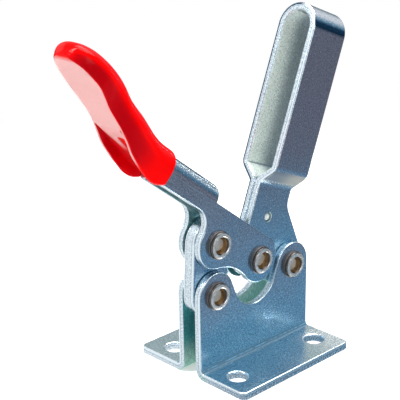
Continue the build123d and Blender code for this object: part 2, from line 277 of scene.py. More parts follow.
class Finish:
    """A material, or the world, that is being written."""

    def __init__(self, block):
        block.use_nodes = True
        self.block, self.tree = block, block.node_tree
        self.tree.nodes.clear()

    def node(self, kind, settings=None, inputs=None, output=0):
        """Adds a node: its settings first, then the values or links of its sockets."""
        node = self.tree.nodes.new(kind)
        for key, value in (settings or {}).items():
            setattr(node, key, value)
        pairs = enumerate(inputs) if isinstance(inputs, list) else (inputs or {}).items()
        for key, value in pairs:
            socket = node.inputs[key]
            if isinstance(value, Wire):
                self.tree.links.new(value.socket, socket)
            elif hasattr(value, "__len__") and socket.type == "RGBA" and len(value) == 3:
                socket.default_value = (*value, 1)
            else:
                socket.default_value = value
        return Wire(self, node.outputs[output]) if len(node.outputs) else None

    def mix(self, factor, first, second, blend="MIX"):
        """Colour that goes from first to second."""
        return self.node(
            "ShaderNodeMix",
            {"data_type": "RGBA", "blend_type": blend},
            {0: factor, 6: first, 7: second},
            output=2,
        )

    def shade(self, tint, amount):
        """Colour made lighter or darker by an amount that varies."""
        grey = self.node("ShaderNodeCombineColor", inputs=[amount, amount, amount])
        return self.mix(1.0, tint, grey, "MULTIPLY")

    def place(self):
        """Position, in the object's own frame."""
        return self.node("ShaderNodeTexCoord", output=3)

    def facing(self):
        """Normal, in the object's own frame."""
        return self.node("ShaderNodeTexCoord", output=1)

    def along(self, axis, start):
        """Distance along an axis of the XZ drawing from a starting point."""
        shift = self.node(
            "ShaderNodeVectorMath", {"operation": "SUBTRACT"},
            [self.place(), (start.x, 0, start.y)],
        )
        return self.node(
            "ShaderNodeVectorMath", {"operation": "DOT_PRODUCT"}, [shift, (axis.x, 0, axis.y)],
            output=1,
        )

    def split(self, vector):
        node = self.node("ShaderNodeSeparateXYZ", inputs=[vector]).socket.node
        return [Wire(self, node.outputs[i]) for i in range(3)]

    def noise(self, width, detail=2.0, vector=None, roughness=0.5):
        return self.node(
            "ShaderNodeTexNoise",
            inputs={"Vector": vector or self.place(), "Scale": 1 / width, "Detail": detail,
                    "Roughness": roughness},
        )

    def stretched(self, scale, turned=0.0):
        """Place with each axis scaled, turned about Y."""
        return self.node(
            "ShaderNodeMapping", inputs={"Vector": self.place(), "Scale": scale,
                                         "Rotation": (0, turned, 0)})

    def bump(self, height, depth, strength=1.0):
        return self.node(
            "ShaderNodeBump", inputs={"Height": height, "Distance": depth, "Strength": strength})

    def surface(self, **inputs):
        """Principled surface; an underscore in a name stands for a space."""
        named = {key.replace("_", " "): value for key, value in inputs.items()}
        shader = self.node("ShaderNodeBsdfPrincipled", inputs=named)
        self.node("ShaderNodeOutputMaterial", inputs={"Surface": shader})
        return self.block


def material(name):
    return Finish(bpy.data.materials.new(name))


def scaled(tint, amount):
    """Plain colour made lighter or darker."""
    return [channel * amount for channel in tint]


# ---------------------------------------------------------------- plated sheet
FLANGE = (3.2 * MM, 2.2 * MM)     # heights over which the web's tints give way to the flange's


class Plate(Finish):
    """Bright zinc on a pressed part: drifting tints, crystals, rolled edges with a painted
    highlight and a shear line.
    """

    drift = (0.0, 0.1)            # heights between which blue drifts to violet

    def __init__(self, name):
        super().__init__(bpy.data.materials.new(name))
        self.kit = bpy.context.scene.clamp_plating
        self.at = self.place()
        self.x, self.y, self.z = self.split(self.at)
        self.cloud = self.noise(self.kit.cloud, 3, self.at)
        self.grain = self.noise(self.kit.grain, 2, self.at, 0.6)
        self.fine = self.noise(self.kit.grain * 0.45, 2, self.at, 0.6)
        self.normal = self.split(self.facing())
        self.out = self.depth()
        # sheared rim of the sheet, and the wavering line where its rolled half ends
        self.rim = self.out.ramp(0.93 * MM, 0.80 * MM) * self.out.ramp(-0.995 * MM, -0.93 * MM)
        self.wander = self.out + (self.noise(0.0011, 3, self.at) - 0.5) * 0.35 * MM

    def depth(self):
        """Outward distance from the middle of the part's sheet."""
        raise NotImplementedError

    def tones(self, tint):
        """Tints of the outer and the inner faces; the inner faces are painted dark as shade."""
        return tint, self.kit.shade_teal[:]

    def drawn(self, tint):
        """Marks that lie on the faces and stop at the rim."""
        return tint

    def marks(self, tint, matt):
        """Marks that lie over all else, and how matt the surface is with them."""
        return tint, matt

    def drifted(self):
        """Blue that drifts to violet upwards, paler on the flange, and pale as a painted highlight
        where a face turns from the broad sides.
        """
        kit = self.kit
        height = self.z.ramp(*self.drift) + (self.cloud - 0.5) * 1.1
        tint = self.mix(height.ramp(0, 1), kit.blue[:], kit.violet[:])
        tint = self.mix(self.z.ramp(*FLANGE), tint, kit.pale[:])
        # painted highlight: faces turned away from the broad sides take the pale tint
        return self.mix(abs(self.normal[1]).ramp(0.92, 0.70), tint, kit.pale[:])

    def crystals(self, tint):
        """Soft grey grain with a few bright crystals, under faint scuffs."""
        bright = self.grain.ramp(0.60, 0.72)
        sparkle = (self.grain - 0.5) * 1.2 + (self.fine - 0.5) * 1.7 + bright * 0.35 + 0.96
        scuff = self.noise(0.0016, 3, self.stretched((1, 1, 0.12), 0.5), 0.6).ramp(0.62, 0.72)
        return self.mix(scuff * 0.25, self.shade(tint, sparkle), self.kit.edge[:])

    def edged(self, tint, line):
        """Rolled half and torn half of the rim, and the line between them; the rolled half is
        painted pale as a highlight.
        """
        kit = self.kit
        torn = self.shade(kit.torn[:], (self.grain - 0.5) * 1.4 + (self.fine - 0.5) * 0.9 + 1)
        # painted highlight: the rolled half of the rim is painted in the pale edge colour
        rolled = self.shade(kit.edge[:], self.fine * 0.3 + 0.88)
        edge = self.mix(self.wander.ramp(0.10 * MM, 0.35 * MM), torn, rolled)
        tint = self.mix(self.rim, tint, edge)
        return self.mix(line * self.fine.ramp(0.38, 0.52) * 0.85, tint, kit.shear[:])

    def finished(self):
        """The material, with this part's own tones and marks in their order."""
        inward = (self.y * self.normal[1] * -400).ramp(0.0, 0.5)
        inward = inward * self.out.ramp(-0.80 * MM, -0.93 * MM)
        tint, inner = self.tones(self.drifted())
        line = self.wander.near(0.10 * MM, 0.12 * MM, 0.03 * MM)
        tint = self.drawn(self.crystals(self.mix(inward, tint, inner)))
        tint, matt = self.marks(self.edged(tint, line), inward * 0.7)
        roughness = self.grain * 0.22 + self.cloud * 0.10 + self.rim * 0.05 + matt * 0.2
        relief = self.grain + self.fine * 0.6 - line * self.rim * 2.0
        return self.surface(
            Base_Color=tint, Metallic=1 - matt,
            Roughness=roughness + (self.kit.roughness - 0.16),
            Normal=self.bump(relief, 0.00003, 0.28),
        )


class BracketPlate(Plate):
    """Plating of the brackets, with a painted highlight on the near flange's right end and a
    coined bend.
    """

    drift = (0.004, 0.034)
    bend_y, bend_z, bend_middle = 5.25 * MM, 3 * MM, 2 * MM

    def depth(self):
        bend = reach((self.bend_y - abs(self.y)).most(0), (self.bend_z - self.z).most(0))
        return bend * -1 + self.bend_middle

    def tones(self, tint):
        kit = self.kit
        # painted highlight: the right end of the near flange is painted nearly white
        self.end = (self.x.ramp(8 * MM, 19 * MM) * self.z.ramp(*FLANGE)
                    * self.y.ramp(-6 * MM, -9 * MM))
        tint = self.mix(self.end * 0.8, tint, (1, 1, 1))
        # painted shade in the gap between the brackets: inner faces darker towards the left,
        # darkest high up
        painted_shade = self.mix(self.z.ramp(11 * MM, 3 * MM), scaled(kit.shade_teal, 1.6),
                        scaled(kit.green, 0.7))
        return tint, self.mix(self.x.ramp(-12 * MM, -4 * MM), painted_shade, kit.green[:])

    def marks(self, tint, matt):
        """Fillet of the bend, matt and painted dark as shade in the bend's hollow, with a coined
        line and the ticks of the press tool.
        """
        crease_shade = self.kit.crease_shade
        # painted shade: the fillet of the bend takes the dark colour of the hollow
        fillet = abs(self.y).ramp(5.45 * MM, 5.15 * MM) * self.z.ramp(3.25 * MM, 2.95 * MM)
        fillet = fillet * self.out.ramp(0.85 * MM, 0.95 * MM)
        ticks = self.noise(0.0009, 2, self.stretched((1, 0.1, 0.1))).ramp(0.45, 0.58)
        groove = self.z.near(2.45 * MM, 0.16 * MM, 0.08 * MM)
        coined = self.z.near(2.20 * MM, 0.14 * MM, 0.06 * MM)
        bend = self.mix(groove * ticks, crease_shade[:], scaled(crease_shade, 1.9))
        bend = self.mix(coined * 0.8, bend, scaled(crease_shade, 0.4))
        matt = matt + fillet * 0.9 + self.end * (1 - self.rim) * 0.15
        return self.mix(fillet, tint, bend), matt


class ArmPlate(Plate):
    """Plating of the arm, with painted light and shade inside its loop, painted highlights and
    dark reflections on its bends, and the step to its stem.
    """

    drift = (0.020, 0.075)
    stem_end, leg_start, tip_start = 20.5 * MM, 24.5 * MM, 62.7 * MM
    stem_middle, leg_middle = 1.03 * MM, 5.3 * MM       # middle of the strip, across the arm
    # crown_glint: painted highlight on the crown of the loop
    crown_glint = (0.98, 1, 1)
    step_dark, step_gold = (0.16, 0.20, 0.25), (0.50, 0.48, 0.42)

    def depth(self):
        self.far_along = self.along(ARM, ARM_AT)
        spread = self.leg_middle - self.stem_middle
        slope = spread / (self.leg_start - self.stem_end)
        opened = ((self.far_along - self.stem_end) * slope).most(0).least(spread)
        middle = opened + self.stem_middle
        return reach(self.y, (self.far_along - self.tip_start).most(0)) - middle

    def tones(self, tint):
        kit = self.kit
        self.shaded = self.along(ARM_UP, ARM_AT) - self.far_along * 0.03
        # painted light and shade inside the loop: lit towards the left, shaded towards the right
        inner = self.mix(self.shaded.ramp(15.5 * MM, 9.5 * MM), kit.inner[:],
                         kit.inner_shade[:])
        crown = self.normal[0] * ARM.x + self.normal[2] * ARM.y
        # painted highlight: faces turned along the arm are painted almost white
        tint = self.mix(crown.ramp(0.35, 0.60), tint, self.crown_glint)
        # painted dark reflection: a dark blue band where the loop's crown turns
        tint = self.mix(crown.between(0.05, 0.14, 0.30, 0.45), tint, kit.navy_reflection_and_shade[:])
        # painted shade: dark line in the inside corner where the leg meets the step
        joint = self.far_along.near(24.7 * MM, 0.35 * MM, 0.10 * MM)
        return tint, self.mix(joint * 0.7, inner, kit.navy_reflection_and_shade[:])

    def marks(self, tint, matt):
        """Step between stem and loop, and a painted dark reflection along the outer corner of the
        far leg.
        """
        step = self.far_along.between(20.6 * MM, 21.6 * MM, 24.2 * MM, 25.2 * MM)
        step = step * abs(self.normal[1]).ramp(0.97, 0.9) * self.out.ramp(0.88 * MM, 0.96 * MM)
        gold = self.mix(self.shaded.ramp(16 * MM, 8 * MM), self.step_dark, self.step_gold)
        tint = self.mix(step * 0.9, tint, gold)
        # painted dark reflection along the far leg's outer corner
        edgewise = abs(self.normal[0] * ARM_UP.x + self.normal[2] * ARM_UP.y).ramp(0.15, 0.35)
        corner = edgewise * self.wander.ramp(0.26 * MM, 0.42 * MM) * self.y.ramp(-2 * MM, 1 * MM)
        return self.mix(corner, tint, self.kit.navy_reflection_and_shade[:]), matt + step * 0.6


class HandlePlate(Plate):
    """Plating of the handle, drawn along the neck by the forming tool."""

    drift = (-0.010, 0.075)
    sheet_middle = 3.25 * MM

    def depth(self):
        self.up = self.along(NECK_UP, HANDLE_AT)
        return reach(self.y, (self.up - BEND_LINE).most(0)) - self.sheet_middle

    def drawn(self, tint):
        neck = self.along(NECK, HANDLE_AT)
        lengthways = self.node("ShaderNodeCombineXYZ", inputs=[neck * 0.06, self.y, self.up])
        streak = self.noise(0.0006, 2, lengthways).ramp(0.48, 0.72)
        amount = neck.ramp(17 * MM, 30 * MM) * (streak * 0.5 + 0.12)
        return self.mix(amount, tint, self.kit.edge[:])


class LinkPlate(Plate):
    """Plating of the link, a solid bar, so its depth is taken half way in."""

    drift = (0.010, 0.050)

    def depth(self):
        return abs(self.y) * 0.95 - 0.9 * MM


# ---------------------------------------------------------------- rivets and vinyl
def nickel(name, tint, roughness):
    finish = material(name)
    fine = finish.noise(0.0006, 3)
    return finish.surface(
        Base_Color=finish.mix(fine.ramp(0.3, 0.7), tint, scaled(tint, 0.72)),
        Metallic=1.0, Roughness=fine * 0.2 + (roughness - 0.06),
        Normal=finish.bump(fine, 0.00004, 0.4),
    )


def small_rivet(name, axis):
    """Bright head in a groove painted dark as shade."""
    kit = bpy.context.scene.clamp_plating
    finish = material(name)
    x, y, z = finish.split(finish.place())
    from_axis = reach(x - axis.x, z - axis.y)
    fine = finish.noise(0.0005, 2)
    # painted shade in the groove round the head
    groove = from_axis.near(1.20 * MM, 0.30 * MM, 0.12 * MM)
    tint = finish.shade((1.0, 1.0, 1.0), fine * 0.4 + 0.75)
    return finish.surface(
        Base_Color=finish.mix(groove * 0.9, tint, kit.shade_teal[:]), Metallic=0.1,
        Roughness=fine * 0.1 + 0.15, Normal=finish.bump(fine, 0.00004, 0.4))


def rivet_finish(name, axis):
    """Nickel rim round a cup with painted shade on its walls, and painted shade where the rim
    meets washer and cup; axis is the rivet's middle in the XZ drawing.
    """
    kit = bpy.context.scene.clamp_rivet_steel
    finish = material(name)
    place = finish.place()
    x, y, z = finish.split(place)
    from_axis = reach(x - axis.x, z - axis.y)
    fine = finish.noise(0.0005, 3, place)
    cloud = finish.noise(0.0022, 2, place)
    rim = finish.mix(fine.ramp(0.35, 0.7), kit.nickel[:], scaled(kit.nickel, 0.75))
    # painted shade with a golden reflection on the cup's walls
    wall = finish.mix((cloud + fine * 0.4).ramp(0.5, 0.9), kit.cup_wall_shade[:],
                      scaled(kit.cup_wall_shade, 0.45))
    floor = finish.shade(kit.floor[:], cloud * 0.5 + fine * 0.4 + 0.52)
    cup = finish.mix((from_axis + (cloud - 0.5) * 0.4 * MM).ramp(1.45 * MM, 1.75 * MM),
                     floor, wall)
    inside = abs(y).ramp(5.50 * MM, 5.25 * MM) * from_axis.ramp(2.62 * MM, 2.40 * MM)
    tint = finish.mix(inside, rim, cup)
    # painted shade: the rivet at the washer's height takes the dark washer colour
    foot_shade = abs(y).ramp(5.16 * MM, 5.02 * MM) * (1 - inside)
    tint = finish.mix(foot_shade, tint, kit.washer[:])
    # painted shade: dark rings at the rim's outer edge and round the cup's mouth
    seat_shade = from_axis.ramp(3.28 * MM, 3.50 * MM).most(
        from_axis.near(2.28 * MM, 0.24 * MM, 0.10 * MM))
    tint = finish.mix(seat_shade * 0.92, tint, scaled(kit.washer, 0.18))
    return finish.surface(
        Base_Color=tint, Metallic=0.8,
        Roughness=fine * 0.16 + inside * 0.08 + (kit.roughness - 0.05),
        Normal=finish.bump(fine + cloud * 2, 0.00005, 0.4),
    )


def red_vinyl(name):
    kit = bpy.context.scene.clamp_vinyl
    finish = material(name)
    place = finish.place()
    y = finish.split(place)[1]
    along = finish.along(NECK, HANDLE_AT)
    skin = finish.noise(0.0006, 2, place)
    cloud = finish.noise(0.012, 2, place)
    normal = finish.facing()
    rise = finish.node(
        "ShaderNodeVectorMath", {"operation": "DOT_PRODUCT"},
        [normal, (NECK_UP.x, 0, NECK_UP.y)], output=1)
    tint = finish.mix(cloud.ramp(0.3, 0.7), kit.red[:], scaled(kit.red, 0.92))
    # painted shade on the inside of the skirts
    facing = (y * finish.split(normal)[1] * -300).ramp(0.0, 0.4)
    tint = finish.mix(facing * 0.6, tint, kit.painted_shade[:])
    # painted shade on the side below the crown, between the skirts and the tip
    shoulder, tip = (50 * MM, 59 * MM), (88.5 * MM, 84 * MM)
    flank_shade = (along + rise * 6 * MM).ramp(*shoulder) * along.ramp(*tip)
    flank_shade = flank_shade * rise.ramp(0.25, -0.10) * rise.ramp(-0.85, -0.5)
    tint = finish.mix(flank_shade * 0.9, tint, kit.painted_shade[:])
    # painted reflection of the white floor on the flat underside
    tongue_half, tongue_start, tongue_length = 2.9 * MM, 56 * MM, 4.6 * MM
    tongue = reach(y * (1 / tongue_half), (along - tongue_start).most(0) * (1 / tongue_length))
    below = rise.ramp(-0.70, -0.86) * along.ramp(87.0 * MM, 84.8 * MM)
    below = below * tongue.ramp(0.96, 1.08) * (along - abs(y)).ramp(50 * MM, 54 * MM)
    painted_floor_reflection = finish.mix(skin.ramp(0.3, 0.7), kit.painted_floor_reflection[:], scaled(kit.painted_floor_reflection, 0.94))
    tint = finish.mix(below * 0.85, tint, painted_floor_reflection)
    return finish.surface(
        Base_Color=tint, Roughness=cloud * 0.06 + below * 0.2 + (kit.roughness - 0.03),
        Normal=finish.bump(skin, 0.00001, 0.3), Specular_IOR_Level=0.09,
    )


# ---------------------------------------------------------------- mesh making
def piece(name, shape, body, slot, finish, *nodes):
    """Makes a smooth piece of a shape, on a body and in place of CAD nodes."""
    bmesh.ops.remove_doubles(shape, verts=shape.verts, dist=1e-7)
    bmesh.ops.dissolve_degenerate(shape, edges=shape.edges, dist=1e-7)
    bmesh.ops.recalc_face_normals(shape, faces=shape.faces)
    for face in shape.faces:
        face.smooth = True
    mesh = bpy.data.meshes.new(name)
    shape.to_mesh(mesh)
    shape.free()
    mesh.materials.append(finish)
    made = bpy.data.objects.new(name, mesh)
    bpy.context.scene.collection.objects.link(made)
    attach(made, body)
    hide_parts(*nodes)
    return made


def skin(shape, loops):
    """Joins closed loops of points, each with the same number, into a tube."""
    rows = [[shape.verts.new(point) for point in loop] for loop in loops]
    for row, after in zip(rows, rows[1:]):
        for i in range(len(row)):
            j = (i + 1) % len(row)
            shape.faces.new((row[i], row[j], after[j], after[i]))
    return rows


TURN_STEPS = 120
RIM_RADIUS, RIM_HALF, RIM_START = 3.0, 0.9, 5.0         # rolled rim of a rivet, in mm


def revolved(half, axis, uneven=(0.0, 0.0)):
    """Solid of revolution along Y, in mm: half its profile, which is mirrored to the far end.

    A rim that was rolled over by hand tools swells and thins a little on its way round.
    """
    profile = half + [(radius, -along) for radius, along in reversed(half[:-1])]
    shape = bmesh.new()
    rings = []
    for k in range(TURN_STEPS):
        a = 2 * pi * k / TURN_STEPS
        swell = uneven[0] * sin(3 * a + 1.3) + uneven[1] * sin(7 * a + 0.4)
        ring = []
        for radius, along in profile:
            on_rim = max(0.0, 1 - abs(radius - RIM_RADIUS) / RIM_HALF)
            rolled = swell * on_rim * (abs(along) > RIM_START)
            out = (radius + rolled) * MM
            y = (abs(along) + min(rolled, 0)) * (-MM if along > 0 else MM)
            ring.append(shape.verts.new((axis.x + out * cos(a), y, axis.y + out * sin(a))))
        rings.append(ring)
    for ring, after in zip(rings, rings[1:] + rings[:1]):
        for i in range(len(profile) - 1):
            shape.faces.new((ring[i], ring[i + 1], after[i + 1], after[i]))
    return shape


def blended(table, at):
    """Row of a table of numbers at a place along its first column, on a smooth curve."""
    rows = len(table)
    i = max(0, min(rows - 2, sum(row[0] <= at for row in table) - 1))
    start, end = table[i], table[i + 1]
    span = end[0] - start[0]
    t = (at - start[0]) / span

    def slope(k, column):
        low, high = table[max(k - 1, 0)], table[min(k + 1, rows - 1)]
        return (high[column] - low[column]) / (high[0] - low[0])

    values = []
    for column in range(1, len(start)):
        a, b = start[column], end[column]
        values.append(
            a * (1 + 2 * t) * (1 - t) ** 2 + b * t * t * (3 - 2 * t)
            + span * (slope(i, column) * t * (1 - t) ** 2 - slope(i + 1, column) * t * t * (1 - t))
        )
    return values


def arc(centre, radius, start, end, steps):
    """Points of an arc in a section; the angles are in degrees."""
    return [
        (centre[0] + radius * cos(radians(start + (end - start) * k / steps)),
         centre[1] + radius * sin(radians(start + (end - start) * k / steps)))
        for k in range(steps + 1)
    ]


# ---------------------------------------------------------------- grip
# stations along the grip, in mm: distance, half width and height of the underside, top
GRIP_STATIONS = (
    (45.3, 5.25, 2.7, 11.65),
    (48.0, 5.25, 1.65, 11.70),
    (51.0, 5.25, 1.60, 12.0),
    (54.0, 5.30, 2.4, 12.7),
    (57.0, 5.50, 3.3, 13.7),
    (60.0, 5.77, 4.5, 14.66),
    (63.0, 5.90, 6.3, 15.35),
    (66.0, 5.50, 8.0, 16.4),
    (69.0, 5.20, 9.3, 18.1),
    (72.0, 5.40, 10.4, 19.2),
    (75.0, 6.14, 11.6, 19.7),
    (78.0, 6.65, 12.8, 20.0),
    (81.0, 6.25, 13.7, 20.2),
    (83.5, 5.40, 14.4, 20.0),
    (85.3, 4.20, 14.8, 19.5),
    (86.5, 2.60, 15.1, 19.0),
    (87.1, 0.0, 15.2, 18.8),
)
# roof of the room between the skirts: distance and height
ROOF = ((45.3, 6.2), (49.0, 5.75), (52.0, 6.2), (57.0, 7.1), (62.0, 7.5), (66.0, 7.9))
ROOM_HALF = 4.3                   # half width of that room
CROWN_FULLNESS = 2.2
WAIST = 0.45                      # share of the height at which the section is widest
BULGE = 0.35                      # that widest half width over the underside's
END_ROUND = 1.5                   # rounding of the tip, seen from the side
START_ROUND = 0.5                 # rounding of the open end's outer edge
TIP_LENGTH = 6                    # last stretch, whose loops crowd towards the end
START_STEPS, BODY_STEPS, TIP_STEPS = 5, 84, 26          # loops along the three stretches
CROWN_STEPS = 36
SIDE_STEPS = 9
ROOF_STEPS = 12
MOUTH_HALF = 2.9                  # recess in the roof: half width
MOUTH_START = 49.5                # where it begins
MOUTH_END = 57.0                  # where its straight sides end
MOUTH_POINT = 3.2                 # how far its rounded end goes on


def grip_section(at, lip, mouth):
    """Closed loop of the sleeve's section at a distance, as (across, up) in mm."""
    at_end = GRIP_STATIONS[-1][0]
    half, low, top = blended(GRIP_STATIONS, at)
    into_tip = max(0.0, at - (at_end - END_ROUND)) / END_ROUND
    shrink = END_ROUND * (1 - sqrt(max(0.0, 1 - into_tip**2)))
    into_start = max(0.0, START_ROUND - (at - GRIP_STATIONS[0][0])) / START_ROUND
    shrink += START_ROUND * (1 - sqrt(max(0.0, 1 - into_start**2)))
    low, top, half = low + shrink, top - shrink, max(half - shrink * (into_start > 0), 0)
    waist = low + (top - low) * WAIST
    bulge = BULGE * min(1, half / 3)
    lip = min(lip, half * 0.4)
    # crown, from the waist on one side to the waist on the other
    crown = []
    for k in range(CROWN_STEPS + 1):
        a = radians(180 * k / CROWN_STEPS)
        across = (half + bulge) * (abs(cos(a)) ** (2 / CROWN_FULLNESS)) * (1 if a < pi / 2 else -1)
        crown.append((across, waist + (top - waist) * abs(sin(a)) ** (2 / CROWN_FULLNESS)))
    # one side below the waist, down to the lip, then in under the sleeve
    side = []
    for k in range(1, SIDE_STEPS):
        t = k / SIDE_STEPS
        up = waist + (low + lip - waist) * t
        side.append((half + bulge * (1 - t * t), up))
    lower = arc((half - lip, low + lip), lip, 0, -90, 6)
    room = min(ROOM_HALF, half - lip - 0.15) if half > 1 else half * 0.6
    depth = max(0.0, blended(ROOF, min(at, ROOF[-1][0]))[0] - low) if at < ROOF[-1][0] else 0.0
    soft = min(0.5, depth / 2, max(half - lip - room, 0.05))
    hollow = min(1.8, depth / 2)
    mouth_room = max(room, half - lip - soft - 0.1)
    lower += arc((mouth_room + soft, low + soft), soft, -90, -180, 5)
    lower += arc((room - hollow, low + depth - hollow), hollow, 0, 90, 8)
    inner = []
    for k in range(1, ROOF_STEPS + 1):
        across = (room - hollow) * (1 - k / ROOF_STEPS)
        inner.append((across, low + depth))
    half_loop = [*side, *lower, *inner]
    loop = [(-across, up) for across, up in reversed(half_loop[:-1])]
    under = half_loop + loop
    # the recess in the roof
    shaped = []
    for across, up in under:
        if depth > 0.3 and up > low + depth - 0.2:
            wide = max(0.0, 1 - (across / MOUTH_HALF) ** 2) ** 0.5
            ahead = min(1.0, max(0.0, (MOUTH_END + MOUTH_POINT * wide - at) / 0.8))
            ahead = ahead * min(1.0, max(0.0, (at - MOUTH_START) / 2.0))
            edge = min(1.0, wide * 2.5)
            up += mouth * ahead * edge
        shaped.append((across, up))
    return [(-across, up) for across, up in crown] + shaped


def dress(names, finish):
    """Puts a finish on CAD nodes, whose shapes stay as they are."""
    for name in names:
        for slot in NODES[name].material_slots:
            slot.material = finish


# ---------------------------------------------------------------- operators
class ClampOperator:
    """What all the operators share."""

    bl_options = {"REGISTER"}


class OBJECT_OT_clamp_brackets(ClampOperator, bpy.types.Operator):
    """Plates the two brackets"""

    bl_idname = "object.clamp_brackets"
    bl_label = "Brackets"

    def execute(self, context):
        dress(("near_bracket", "far_bracket"), BracketPlate("bracket_zinc").finished())
        return {"FINISHED"}


class OBJECT_OT_clamp_linkage(ClampOperator, bpy.types.Operator):
    """Plates the arm, the handle and the link"""

    bl_idname = "object.clamp_linkage"
    bl_label = "Linkage"

    def execute(self, context):
        dress(("arm",), ArmPlate("arm_zinc").finished())
        dress(("handle",), HandlePlate("handle_zinc").finished())
        dress(("link",), LinkPlate("link_zinc").finished())
        return {"FINISHED"}


class OBJECT_OT_clamp_rivets(ClampOperator, bpy.types.Operator):
    """Turns the four tubular rivets and finishes washers, bushes and the arm's small rivet"""

    bl_idname = "object.clamp_rivets"
    bl_label = "Rivets"

    def execute(self, context):
        kit = context.scene.clamp_rivet_steel
        for pivot, body in PIVOT_BODIES.items():
            axis = middle_of(pivot + "_rivet")
            finish = rivet_finish(pivot + "_nickel", axis)
            piece(pivot + "_tube", self.turned(axis), body, "nickel_steel", finish,
                  pivot + "_rivet")
        washers = [f"{p}_{side}_washer" for p in PIVOT_BODIES for side in ("near", "far")]
        dress(washers, nickel("washer_steel", kit.washer[:], 0.30))
        dress([p + "_bush" for p in PIVOT_BODIES], nickel("bush_steel", kit.washer[:], 0.4))
        head = small_rivet("stem_rivet_zinc", middle_of("stem_rivet"))
        piece("stem_rivet_heads", self.stem_heads(middle_of("stem_rivet")), "arm", "zinc_steel",
              head, "stem_rivet")
        return {"FINISHED"}

    def stem_heads(self, axis):
        """Small rivet through the arm's stem: a low dome in a groove at each end."""
        half = [(1.02 * sin(radians(a)), 1.92 - 0.75 * (1 - cos(radians(a))))
                for a in range(0, 80, 8)]
        half += [(1.08, 1.28), (1.20, 1.26), (1.30, 1.32), (1.38, 1.80), (1.44, 1.93),
                 (1.49, 1.90), (1.49, 0.0)]
        return revolved(half, axis)

    def turned(self, axis):
        """Rivet with a rolled rim round a cup at each end."""
        washer_top, rim_top, cup_floor = 4.80, 5.65, 4.15
        half = [(0.0, cup_floor + 0.10), (0.5, cup_floor + 0.09), (1.0, cup_floor + 0.04),
                (1.4, cup_floor), (1.68, cup_floor + 0.04)]
        half += arc((1.62, cup_floor + 0.36), 0.33, -60, 0, 4)
        half += [(2.02, cup_floor + 0.85), (2.12, rim_top - 0.46)]
        half += arc((2.98, rim_top - 0.60), 0.80, 168, 90, 7)[:-1]
        half += arc((3.05, rim_top - 0.62), 0.62, 90, -20, 9)
        half += [(3.62, washer_top + 0.14), (3.56, washer_top + 0.03), (3.50, washer_top),
                 (2.45, washer_top - 0.004), (2.4, washer_top - 0.05), (2.4, 2.0), (2.4, 0.0)]
        return revolved(half, axis, uneven=(0.018, 0.012))


class OBJECT_OT_clamp_grip(ClampOperator, bpy.types.Operator):
    """Moulds the vinyl grip over the handle's tang"""

    bl_idname = "object.clamp_grip"
    bl_label = "Grip"

    def execute(self, context):
        kit = context.scene.clamp_vinyl
        start, end = GRIP_STATIONS[0][0], GRIP_STATIONS[-1][0]
        first, body_end = start + START_ROUND, end - TIP_LENGTH
        places = [start + START_ROUND * (1 - cos(pi / 2 * k / START_STEPS))
                  for k in range(START_STEPS)]
        places += [first + (body_end - first) * k / BODY_STEPS for k in range(BODY_STEPS)]
        places += [body_end + TIP_LENGTH * sin(pi / 2 * k / TIP_STEPS)
                   for k in range(TIP_STEPS + 1)]
        loops = []
        for at in places:
            loop = []
            for across, up in grip_section(at, kit.lip / MM, kit.mouth / MM):
                point = HANDLE_AT + (NECK * at + NECK_UP * up) * MM
                loop.append((point.x, across * MM, point.y))
            loops.append(loop)
        shape = bmesh.new()
        rows = skin(shape, loops)
        shape.faces.new(rows[0])
        bmesh.ops.remove_doubles(shape, verts=shape.verts, dist=1e-6)
        piece("grip_sleeve", shape, "handle", "red_vinyl", red_vinyl("red_vinyl"), "grip")
        return {"FINISHED"}


STAGE_HALF = 3.0                  # half width of the floor and the card
FLOOR_GLOW = 0.42                 # lifts the lit floor to white
# directions seen from above: to the camera's right, and away behind the model
RIGHTWARD = (0.62, -0.78)
BEHIND = (0.69, 0.72)
DARK_BEHIND = (0.04, 0.08, 0.13)
CARD_PALE = (0.93, 0.96, 0.97)
ROOM_LEFT = (0.95, 0.98, 1.0)
ROOM_MIDDLE = (0.31, 0.40, 0.43)
ROOM_FRONT = (0.62, 0.67, 0.75)
ROOM_RIGHT = (0.12, 0.28, 0.40)
ZENITH = (0.60, 0.68, 0.71)


